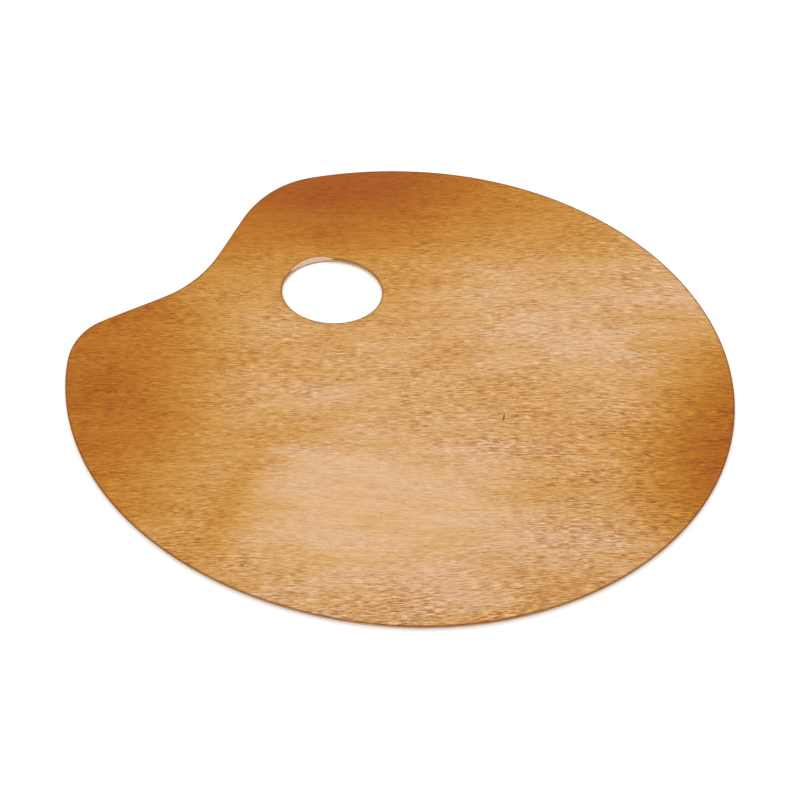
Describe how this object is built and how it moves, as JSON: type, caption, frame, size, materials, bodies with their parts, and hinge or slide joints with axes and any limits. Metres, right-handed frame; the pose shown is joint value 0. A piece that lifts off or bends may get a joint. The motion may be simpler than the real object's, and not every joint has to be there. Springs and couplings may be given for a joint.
{
  "type": "mixing palette",
  "caption": "Flat oval plywood painter's palette with a curved finger notch and a bevelled oval thumb hole, held on the forearm for laying out and mixing paint.",
  "frame": {"origin": "middle of the board's bounding box, on its underside, where it rests on a table", "axes": "+X along the board's length and the face grain, away from the finger notch; +Y towards the side with the thumb hole; +Z out of the mixing face"},
  "size_m": [0.3994, 0.3008, 0.003],
  "materials": {
    "varnished_face": "satin varnish",
    "core_wood": "sawn and sanded edge",
    "varnished_back": "thin varnish",
    "glue": "cured resin"
  },
  "bodies": {
    "root": {"face_veneer": "varnished_face", "upper_glue_line": "glue", "core_veneer": "core_wood", "lower_glue_line": "glue", "back_veneer": "varnished_back"}
  },
  "joints": []
}
